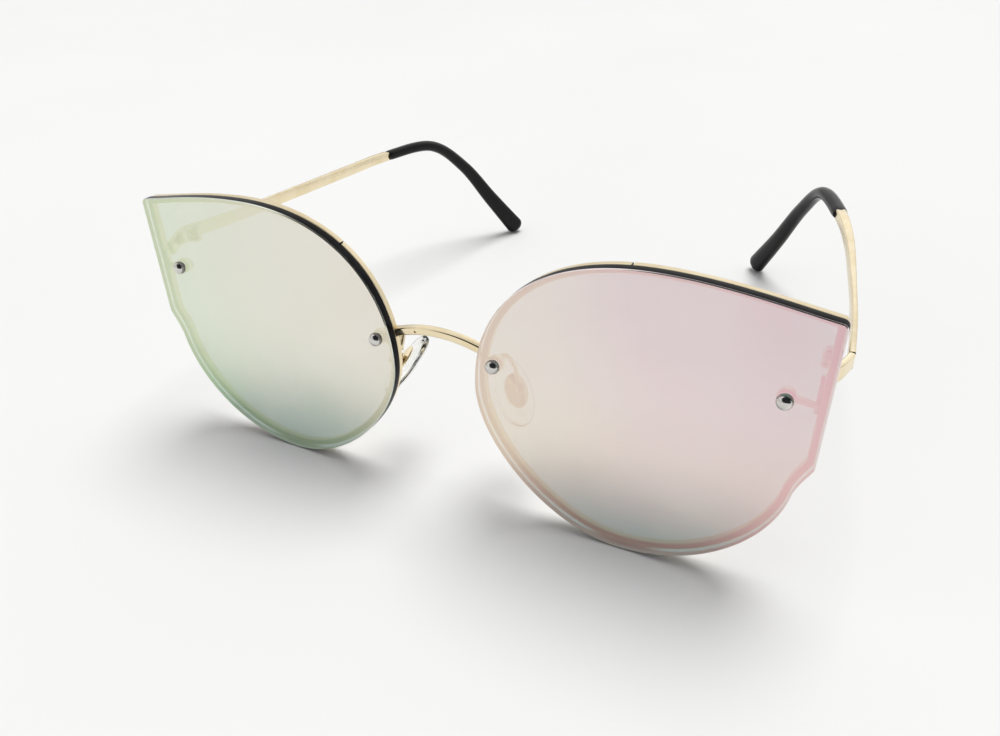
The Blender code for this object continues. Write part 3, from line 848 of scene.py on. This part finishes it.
def make_bush(side, name, where, nylon):
    """Sleeve in the lens hole, with a thin flange in front of the lens."""
    face = -FLANGE_THICKNESS - BUSH_OVERLAP
    profile = (
        (BUSH_BORE, face),
        (BUSH_FLANGE - 0.08, face),
        (BUSH_FLANGE, face + 0.08),
        (BUSH_FLANGE, -BUSH_OVERLAP),
        (BUSH_RADIUS, -BUSH_OVERLAP),
        (BUSH_RADIUS, LENS_THICKNESS),
        (BUSH_BORE, LENS_THICKNESS),
    )
    tag = f"{where}_{name}"
    rings = turned(profile, ROUND_STEPS, RIVETS[where])
    bush = solid("bush_sleeve_" + tag, rings, [nylon], LENS_AT, side, closed=True)
    settle(bush, "front", "bush_" + tag)


def make_nut(side, name, where, steel):
    """Hexagon nut whose corners are turned down to a cone on both faces."""
    u, v = RIVETS[where]
    start = LUG_FRONT + LUG_THICKNESS + NUT_GAP
    end = start + NUT_THICKNESS
    count = ROUND_STEPS
    across_flats = NUT_RADIUS * math.cos(math.pi / 6)
    hexagon = []
    for i in range(count):
        angle = 2 * math.pi * i / count
        lean = (angle + math.pi / 6) % (math.pi / 3) - math.pi / 6
        reach = min(across_flats / math.cos(lean), NUT_RADIUS)
        hexagon.append((reach * math.cos(angle), reach * math.sin(angle)))
    face = circle(across_flats - 0.02, count)
    bore = circle(SHAFT_RADIUS + 0.02, count)
    loops = (
        (bore, start),
        (face, start),
        (hexagon, start + NUT_CHAMFER),
        (hexagon, end - NUT_CHAMFER),
        (face, end),
        (bore, end),
    )
    rings = [[(u + x, depth, v + z) for x, z in loop] for loop, depth in loops]
    tag = f"{where}_{name}"
    nut = solid("nut_hex_" + tag, rings, [steel], LENS_AT, side, closed=True, sharp=20)
    settle(nut, "front", "nut_" + tag)


def eye_points(centre, first, sweep, steps):
    angles = (first + sweep * i / steps for i in range(steps + 1))
    return [
        (centre[0] + LUG_RADIUS * math.cos(a), centre[1] + LUG_RADIUS * math.sin(a))
        for a in angles
    ]


def make_lug(side, name, where, outline, gold):
    """Flat eye behind the lens, with its hole, and the tab or bar that joins it to the rim."""
    def make(point, height):
        return (point[0], height, point[1])

    rings = rounded_plate(outline, LUG_FRONT, LUG_FRONT + LUG_THICKNESS, LUG_ROUNDING, make)
    lug = solid(f"lug_eye_{where}_{name}", rings, [gold], LENS_AT, side)
    drill(lug, LENS_AT, side, RIVETS[where], SHAFT_RADIUS + 0.03, gold)
    settle(lug, "front", f"lug_{where}_{name}")


def nasal_lug_outline():
    """Most of a circle, then the tab that reaches back over the rim."""
    u, v = RIVETS["nasal"]
    flat = NASAL[0] + RIM_INSET + RIM_WIDTH + GAP
    tab = 1.1
    start = math.asin(tab / LUG_RADIUS)
    return eye_points((u, v), start - math.pi, 2 * math.pi - 2 * start, 36) + [
        (flat + 0.2, v + tab + 0.25),
        (flat - 0.2, v - tab - 0.25),
    ]


def temporal_lug_outline():
    """Most of a circle, then a slim bar to the upright block beside the rim."""
    u, v = RIVETS["temporal"]
    reach = TIP[0] - RIM_INSET - RIM_WIDTH + 0.1
    inner = reach - BLOCK_WIDTH - 0.45
    eye = eye_points((u, v), math.radians(-25), math.radians(-318), 36)
    return eye[::-1] + [
        (inner, v - 1.0),
        (inner, v - BLOCK_BELOW),
        (reach, v - BLOCK_BELOW),
        (reach, v + BLOCK_ABOVE),
        (inner, v + BLOCK_ABOVE),
        (inner, v - 0.15),
    ]


def make_bridge(gold):
    """Arched bar, flared at both ends where it is soldered to the rims."""
    points = []
    span = BRIDGE_HALF_SPAN + GAP
    for i in range(BRIDGE_STEPS + 1):
        x = span * (2 * i / BRIDGE_STEPS - 1)
        drop = (BRIDGE_TOP_Z - BRIDGE_END_Z) * (x / BRIDGE_HALF_SPAN) ** 2
        points.append(from_front((x, BRIDGE_DEPTH, BRIDGE_TOP_Z - drop)))
    rings = []
    for at in frames_along(points):
        away = span - abs(at[0].x)
        flare = 1.0 + BRIDGE_FLARE * math.exp(-away / BRIDGE_FLARE_REACH)
        section = rounded_box(BRIDGE_THICKNESS, BRIDGE_THICKNESS, BRIDGE_CORNER)
        rings.append(place_section(at, [(a * flare, b * flare) for a, b in section]))
    bridge = solid("bridge_bar", rings, [gold], ROW, 1)
    face = FRONT_Y + BRIDGE_DEPTH - BRIDGE_THICKNESS / 2
    pit = turned(((PIT_RADIUS, face - 0.5), (PIT_RADIUS, face + 0.2)), 24, PIT_AT)
    combine(bridge, solid("tool", pit, [gold], ROW, 1))
    settle(bridge, "front", "bridge")


def make_end_piece(side, name, gold, dark):
    """Bent bar from the rim back to the hinge; its end cap at the temple is near-black, painted
    shade in the hinge gap.
    """
    knots = [from_front((x, y, HINGE_Z)) for x, y in END_PIECE_ROUTE]
    frames = frames_along(smooth_route(knots, 16))
    rings = []
    for i, at in enumerate(frames):
        trim = END_TRIM if i in (0, len(frames) - 1) else 0.0
        size = (END_PIECE_THICKNESS - trim, END_PIECE_HEIGHT - trim)
        rings.append(place_section(at, rounded_box(*size, BAR_CORNER)))
    # the last cap, facing the temple across the hinge gap, is near-black: painted shade in the gap
    bands = [0] * len(rings) + [1]
    piece = solid("end_piece_bar_" + name, rings, [gold, dark], ROW, side, bands=bands)
    settle(piece, "front", "end_piece_" + name)


# ------------------------------------------------------------------ hinge and temple


def leaf_outline(direction, leaf):
    """A knuckle seen along the pin, and the flat leaf that leaves it."""
    near, far, length = leaf
    low, high = 7, 75
    outline = []
    for i in range(ROUND_STEPS + 1):
        angle = math.radians(high + (360 + low - high) * i / ROUND_STEPS)
        outline.append((KNUCKLE_RADIUS * math.cos(angle), KNUCKLE_RADIUS * math.sin(angle)))
    web = KNUCKLE_RADIUS * math.sin(math.radians(low))
    outline += [(far, web), (far, length), (near, length), (near, KNUCKLE_RADIUS + 0.4)]
    return [(x, direction * y) for x, y in outline]


def hinge_tool(side, rings, look):
    return solid("tool", rings, [look], HINGE_AT, side)


def make_front_knuckles(side, name, gold):
    """Two knuckles and their leaf, one solid with a gap cut for the middle knuckle."""
    far = HINGE_FAR
    clear = KNUCKLE_RADIUS + 0.25
    half_gap = KNUCKLE_SPLIT + KNUCKLE_GAP
    rings = slab(leaf_outline(-1, FRONT_LEAF), -HINGE_HALF_HEIGHT, HINGE_HALF_HEIGHT)
    front = solid("hinge_leaf_front_" + name, rings, [gold], HINGE_AT, side)
    combine(front, hinge_tool(side, block((-far, -clear, -half_gap), (far, far, half_gap)), gold))
    combine(front, hinge_tool(side, slab(circle(PIN_HOLE, SCREW_STEPS), -far, far), gold))
    soften(front, HINGE_SOFTNESS)
    settle(front, "front", "hinge_front_" + name)


def make_rear_knuckle(side, name, gold):
    """The middle knuckle and its leaf, cut down above and below the knuckle."""
    far = HINGE_FAR
    clear = KNUCKLE_RADIUS + 0.25
    rings = slab(leaf_outline(1, REAR_LEAF), -REAR_HALF_HEIGHT, REAR_HALF_HEIGHT)
    rear = solid("hinge_leaf_rear_" + name, rings, [gold], HINGE_AT, side)
    for low, high in ((KNUCKLE_SPLIT, far), (-far, -KNUCKLE_SPLIT)):
        combine(rear, hinge_tool(side, block((-far, -far, low), (far, clear, high)), gold))
    combine(rear, hinge_tool(side, slab(circle(PIN_HOLE, SCREW_STEPS), -far, far), gold))
    soften(rear, HINGE_SOFTNESS)
    settle(rear, name + "_temple_arm", "hinge_rear_" + name)


def make_hinge_screw(side, name, steel):
    """The pin of the hinge, with a slotted cheese head on top."""
    tall = HINGE_HALF_HEIGHT
    profile = (
        (PIN_RADIUS - 0.1, -tall - 0.1),
        (PIN_RADIUS, -tall),
        (PIN_RADIUS, tall + 0.1),
        (HINGE_HEAD_RADIUS - 0.05, tall + 0.1),
        (HINGE_HEAD_RADIUS, tall + 0.15),
        (HINGE_HEAD_RADIUS, tall + 0.33),
        (HINGE_HEAD_RADIUS - 0.08, tall + 0.44),
        (HINGE_HEAD_RADIUS - 0.3, tall + 0.5),
    )
    rings = [[(x, y, z) for x, y in circle(radius, SCREW_STEPS)] for radius, z in profile]
    screw = solid("hinge_pin_" + name, rings, [steel], HINGE_AT, side)
    across = HINGE_HEAD_RADIUS + 0.3
    groove = block(
        (-across, -SLOT_HALF_WIDTH, tall + SLOT_BOTTOM),
        (across, SLOT_HALF_WIDTH, tall + 1.0),
    )
    combine(screw, hinge_tool(side, groove, steel))
    settle(screw, "front", "hinge_screw_" + name)


def temple_frames():
    knots = [from_front(k) for k in TEMPLE_KNOTS]
    points = smooth_route(knots, STEPS_PER_KNOT)
    return frames_along(points), lengths_along(points), MOUTH_KNOT * STEPS_PER_KNOT


def make_temple(side, name, gold, dark):
    """Flat bar that thins upwards and thickens sideways, then the core wire in the tip; its front
    end cap is near-black, painted shade in the hinge gap.
    """
    frames, lengths, mouth = temple_frames()
    rings = []
    for i in range(mouth + 1):
        share = lengths[i] / lengths[mouth]
        swell = max(0.0, (share - BAR_THIN_SHARE) / (1.0 - BAR_THIN_SHARE))
        thickness = BAR_THICKNESS + (BAR_END_THICKNESS - BAR_THICKNESS) * swell
        height = BAR_HEIGHT + (BAR_END_HEIGHT - BAR_HEIGHT) * share
        trim = END_TRIM if i in (0, mouth) else 0.0
        size = (thickness - trim, height - trim)
        rings.append(place_section(frames[i], rounded_box(*size, BAR_CORNER)))
    core = rounded_box(*CORE_SIZE, CORE_CORNER)
    rings += [place_section(frames[i], core) for i in range(mouth, mouth + CORE_STEPS)]
    # the first cap, facing the end piece across the hinge gap, is near-black: painted shade in the
    # gap; the last cap, inside the tip, stays gold
    bands = [0] * (len(rings) - 1) + [1, 0]
    temple = solid("temple_bar_" + name, rings, [gold, dark], ROW, side, bands=bands)
    settle(temple, name + "_temple_arm", "temple_" + name)


def tip_section(share, trim=0.0):
    swell = share * share
    half = [a + (b - a) * swell - trim for a, b in zip(SLEEVE_MOUTH, SLEEVE_END)]
    return [(half[0] * x, half[1] * z) for x, z in circle(1.0, TIP_RING)]


def rounded_end(frames):
    """Rings that close the tip with a dome."""
    point, across, high = frames[-1]
    ahead = (frames[-1][0] - frames[-2][0]).normalized()
    steps = 12
    rings = []
    for i in range(1, steps):
        angle = math.pi / 2 * i / steps
        centre = point + ahead * SLEEVE_END[1] * 0.85 * math.sin(angle)
        end = [(a * math.cos(angle), b * math.cos(angle)) for a, b in tip_section(1.0)]
        rings.append(place_section((centre, across, high), end))
    return rings


def make_tip(side, name, black):
    """Plastic tip with a rounded mouth, a bore for the core and a rounded end."""
    frames, lengths, mouth = temple_frames()
    total = lengths[-1] - lengths[mouth]
    bore = [(a * CORE_BORE[0], b * CORE_BORE[1]) for a, b in circle(1.0, TIP_RING)]
    rings = [place_section(frames[i], bore) for i in range(mouth + BORE_STEPS, mouth, -1)]
    rings.append(place_section(frames[mouth], [(a * 1.3, b * 1.3) for a, b in bore]))
    rings.append(place_section(frames[mouth], tip_section(0.0, 0.18)))
    for i in range(mouth + 1, len(frames)):
        share = (lengths[i] - lengths[mouth]) / total
        trim = 0.05 if i == mouth + 1 else 0.0
        rings.append(place_section(frames[i], tip_section(share, trim)))
    rings += rounded_end(frames)
    tip = solid("tip_sleeve_" + name, rings, [black], ROW, side)
    settle(tip, name + "_temple_arm", "temple_tip_" + name)


# ------------------------------------------------------------------ nose pads


def make_pad(side, name, clear):
    """Domed oval of clear plastic, slightly narrower at the top."""
    rings = []
    for inset, share in [p[:2] for p in smooth_route([(*p, 0.0) for p in PAD_CROWN], 4)]:
        wide = PAD_HALF_WIDTH - max(inset, 0.0)
        tall = PAD_HALF_LENGTH - max(inset, 0.0)
        x = PIVOT_BACK + max(share, 0.0) * PAD_THICKNESS
        shape = []
        for a, b in circle(1.0, PAD_RING):
            narrow = (1.0 - PAD_TAPER * b) / (1.0 + PAD_TAPER)
            shape.append((x, a * wide * narrow, b * tall))
        rings.append(shape)
    pad = solid("pad_body_" + name, rings, [clear], PAD_AT, side, sharp=60)
    settle(pad, name + "_nose_pad", "nose_pad_" + name)


def make_pad_insert(side, name, gold):
    """Oval plate in the back of the pad, with the tab that the cross screw holds."""
    front = PIVOT_BACK - GAP
    oval = [(a * INSERT_HALF[1], b * INSERT_HALF[0]) for a, b in circle(1.0, ROUND_STEPS)]

    def make(point, height):
        return (height, point[0], point[1])

    plate = rounded_plate(oval, front - INSERT_THICKNESS, front, 0.12, make)
    insert = solid("pad_core_" + name, plate, [gold], PAD_AT, side)
    middle = front - INSERT_THICKNESS / 2
    reach = (
        (middle, -TAB_HALF),
        (middle, TAB_HALF),
        (-TAB_REACH, TAB_HALF),
        (-TAB_REACH, -TAB_HALF),
    )
    tab = slab(reach, -TAB_HALF_HEIGHT, TAB_HALF_HEIGHT)
    combine(insert, solid("tool", tab, [gold], PAD_AT, side), "UNION")
    soften(insert, 0.05, 2)
    settle(insert, name + "_nose_pad", "pad_insert_" + name)


def make_pad_box(side, name, gold):
    """Small box, open towards the pad, whose cheeks hold the tab."""
    inner = TAB_HALF + CHEEK_GAP
    outer = inner + CHEEK
    low = -TAB_REACH - BOX_BEHIND
    outline = (
        (TAB_REACH, inner),
        (TAB_REACH, outer),
        (low, outer),
        (low, -outer),
        (TAB_REACH, -outer),
        (TAB_REACH, -inner),
        (low + BOX_WALL, -inner),
        (low + BOX_WALL, inner),
    )
    box = solid("pad_holder_" + name, slab(outline, -BOX_HALF, BOX_HALF), [gold], PAD_AT, side)
    soften(box, BOX_SOFTNESS)
    settle(box, "front", "pad_box_" + name)


def make_pad_screw(side, name, gold):
    """Cross screw through both cheeks, with a low domed head."""
    outer = TAB_HALF + CHEEK_GAP + CHEEK
    profile = (
        (PAD_PIN_RADIUS, outer + 0.15),
        (PAD_PIN_RADIUS, -outer - 0.08),
        (PAD_HEAD_RADIUS - 0.04, -outer - 0.08),
        (PAD_HEAD_RADIUS, -outer - 0.14),
        (PAD_HEAD_RADIUS, -outer - 0.28),
        (PAD_HEAD_RADIUS - 0.12, -outer - 0.38),
        (PAD_HEAD_RADIUS - 0.32, -outer - 0.42),
    )
    rings = [[(x, y, z) for x, z in circle(radius, SCREW_STEPS)] for radius, y in profile]
    screw = solid("pad_pin_" + name, rings, [gold], PAD_AT, side)
    settle(screw, "front", "pad_screw_" + name)


def make_pad_arm(side, name, gold):
    """Bent wire, a little thicker where it is soldered to the rim."""
    points = smooth_route([from_front(k) for k in ARM_KNOTS], 18)
    frames = frames_along(points, Vector((0.0, 1.0, 0.0)))
    lengths = lengths_along(points)
    rings = []
    for at, along in zip(frames, lengths):
        flare = 1.0 + ARM_FLARE * math.exp(-along / ARM_FLARE_REACH)
        rings.append(place_section(at, circle(ARM_RADIUS * flare, 20)))
    arm = solid("pad_wire_" + name, rings, [gold], ROW, side)
    settle(arm, "front", "pad_arm_" + name)


# ------------------------------------------------------------------ room, lights and camera


def make_floor():
    """Plain pale table, faintly cloudy."""
    made, tree, shader = new_material("pale_floor")
    cloud_colour(tree, shader, 0.004, 3.0, (0.80, 0.80, 0.80), (0.825, 0.825, 0.825))
    link(tree, spread(tree, noise(tree, 0.02, 4.0), 0.55, 0.7), shader, "Roughness")
    shader.inputs["Specular IOR Level"].default_value = 0.2
    bm = bmesh.new()
    corners = ((-1, -1), (1, -1), (1, 1), (-1, 1))
    bm.faces.new([bm.verts.new((x * FLOOR_HALF, y * FLOOR_HALF, 0.0)) for x, y in corners])
    floor = mesh_object("floor", bm, [made])


def direction(azimuth, elevation):
    """Unit vector towards a place, in degrees: 0 is the front and 90 the wearer's left."""
    a, e = math.radians(azimuth), math.radians(elevation)
    return Vector((math.sin(a) * math.cos(e), -math.cos(a) * math.cos(e), math.sin(e)))


def make_world():
    """White room with one darker place in front and above, as where a photographer stands.

    Metals mirror brighter, uneven walls and a wider dark place, and the camera sees plain
    pale walls.
    """
    world = bpy.data.worlds.new("studio")
    world.use_nodes = True
    tree = world.node_tree
    where = node(tree, "ShaderNodeTexCoord").outputs["Generated"]
    path = node(tree, "ShaderNodeLightPath")
    sight = {0: where, 1: direction(*DARK_PLACE)}
    aim = node(tree, "ShaderNodeVectorMath", sight, operation="DOT_PRODUCT").outputs["Value"]
    aim = multiply_add(tree, path.outputs["Is Glossy Ray"], DARK_WIDER, aim)
    aim = multiply_add(tree, path.outputs["Is Camera Ray"], -1.5, aim)
    near = math.cos(math.radians(DARK_INNER))
    far = math.cos(math.radians(DARK_OUTER))
    light = spread(tree, aim, 1.0, 0.0, far, near)
    stops = ((0.0, (0.03, 0.03, 0.035)), (1.0, (1.0, 1.0, 1.0)))
    background = tree.nodes["Background"]
    tree.links.new(ramp(tree, light, *stops), background.inputs["Color"])
    walls = {"Vector": where, "Scale": 1.8, "Detail": 2.0}
    walls = node(tree, "ShaderNodeTexNoise", walls).outputs["Fac"]
    extra = spread(tree, walls, *MIRRORED_EXTRA)
    strength = multiply_add(tree, path.outputs["Is Glossy Ray"], extra, ROOM_LIGHT)
    strength = multiply_add(tree, path.outputs["Is Camera Ray"], CAMERA_EXTRA, strength)
    tree.links.new(strength, background.inputs["Strength"])
    bpy.context.scene.world = world


def make_key():
    """Wide soft lamp behind and above, which gives shadows but no hard highlights."""
    data = bpy.data.lights.new("key", "SUN")
    data.energy = KEY_ENERGY
    data.angle = math.radians(KEY_ANGLE)
    data.color = (1.0, 1.0, 0.985)
    key = bpy.data.objects.new("key", data)
    key.rotation_mode = "QUATERNION"
    key.rotation_quaternion = direction(*KEY_FROM).to_track_quat("Z", "Y")
    key.visible_glossy = False
    key.visible_transmission = False
    bpy.context.scene.collection.objects.link(key)


def make_camera():
    data = bpy.data.cameras.new("camera")
    camera = bpy.data.objects.new("camera", data)
    right = Vector((0.89041, 0.44995, -0.06872))
    up = Vector((-0.2112, 0.5423, 0.8132))
    back = right.cross(up)
    turn = Matrix((right, up, back)).transposed()
    camera.matrix_world = Matrix.Translation((0.07669, -0.16787, 0.12500)) @ turn.to_4x4()
    data.sensor_width = 36.0
    data.lens = 29.438
    data.shift_x = 0.00349
    data.shift_y = -0.00202
    data.clip_start = 0.005
    data.clip_end = 20.0
    bpy.context.scene.collection.objects.link(camera)
    bpy.context.scene.camera = camera


def lens_looks():
    """The coats of both lenses: green and cream on the right, pink on the left.

    Each has its mirror tint across, then upwards a painted shade that darkens its lower part as the
    mirrored shadow on the floor, and then the tint of what shows through.
    """
    green = coat_material(
        "green_mirror_coat",
        SIDES["right"],
        ((0.1, (0.89, 0.83, 0.65)), (0.5, (0.845, 0.84, 0.64)), (0.9, (0.765, 0.86, 0.61))),
        # painted shade: darker and greyer towards the bottom of the lens
        (
            (0.06, (0.58, 0.78, 0.68)),
            (0.16, (0.70, 0.82, 0.73)),
            (0.26, (0.83, 0.88, 0.84)),
            (0.36, (0.93, 0.96, 0.94)),
            (0.50, (1.0, 1.0, 1.0)),
        ),
        ((0.0, (0.65, 0.70, 0.97)), (0.5, (0.70, 0.70, 1.0)), (1.0, (0.81, 0.70, 1.0))),
    )
    pink = coat_material(
        "pink_mirror_coat",
        SIDES["left"],
        ((0.1, (0.97, 0.79, 0.67)), (0.55, (0.975, 0.65, 0.645)), (0.9, (1.0, 0.625, 0.675))),
        # painted shade: darker and greyer towards the bottom of the lens
        (
            (0.06, (0.70, 0.64, 0.61)),
            (0.16, (0.82, 0.75, 0.71)),
            (0.26, (0.93, 0.90, 0.84)),
            (0.36, (0.99, 0.98, 0.92)),
            (0.53, (1.0, 1.0, 0.99)),
            (0.90, (0.96, 0.94, 0.97)),
        ),
        ((0.0, (0.54, 0.86, 1.0)), (0.5, (0.32, 0.92, 0.95)), (1.0, (0.10, 0.97, 0.81))),
    )
    return {"left": pink, "right": green}


def bevel_looks():
    """The polished bevels, each in the pale tint of its own coat."""
    looks = {}
    for name, tint in (("left", (0.90, 0.80, 0.79)), ("right", (0.84, 0.88, 0.78))):
        low = tuple(0.92 * c for c in tint)
        looks[name] = metal_material("lens_bevel_" + name, low, tint, 0.08, 0.16, (1.0, 1.0, 1.0))
    return looks


def main():
    low, high = (0.84, 0.71, 0.46), (0.91, 0.79, 0.56)
    gold = metal_material("polished_gold", low, high, 0.10, 0.20, (0.5, 0.25, 1.0))
    brushed = metal_material("temple_gold", low, high, 0.18, 0.30, (1.0, 0.08, 1.4))
    satin = metal_material("rim_gold", low, high, 0.34, 0.46, (0.5, 0.5, 1.0))
    steel = steel_material()
    black = black_material()
    clear = pad_material()
    # the sleeves' material carries painted shade round the rivet heads as well as its own grey
    nylon = nylon_material()
    back = smoke_material()
    # near-black lacquer of the lens edges; also used as painted shade in the rim seams and the
    # hinge gaps
    dark = edge_material("lens_edge_dark_and_painted_shade", (0.004, 0.0035, 0.004), (0.010, 0.009, 0.010), 0.10)
    bright = edge_material("lens_edge_bright", (0.64, 0.58, 0.53), (0.72, 0.66, 0.60), 0.6)
    coats = lens_looks()
    bevels = bevel_looks()
    make_bridge(gold)
    for name, side in SIDES.items():
        make_lens(side, name, (coats[name], back, dark, bright, bevels[name]))
        make_rim(side, name, satin, dark)
        for where in RIVETS:
            make_rivet(side, name, where, steel)
            make_bush(side, name, where, nylon)
            make_nut(side, name, where, steel)
        make_lug(side, name, "nasal", nasal_lug_outline(), gold)
        make_lug(side, name, "temporal", temporal_lug_outline(), gold)
        make_end_piece(side, name, gold, dark)
        make_front_knuckles(side, name, gold)
        make_rear_knuckle(side, name, gold)
        make_hinge_screw(side, name, steel)
        make_temple(side, name, brushed, dark)
        make_tip(side, name, black)
        make_pad(side, name, clear)
        make_pad_insert(side, name, gold)
        make_pad_box(side, name, gold)
        make_pad_screw(side, name, gold)
        make_pad_arm(side, name, gold)
    make_floor()
    make_world()
    make_key()
    make_camera()
    bpy.context.scene.view_settings.view_transform = "Standard"


main()
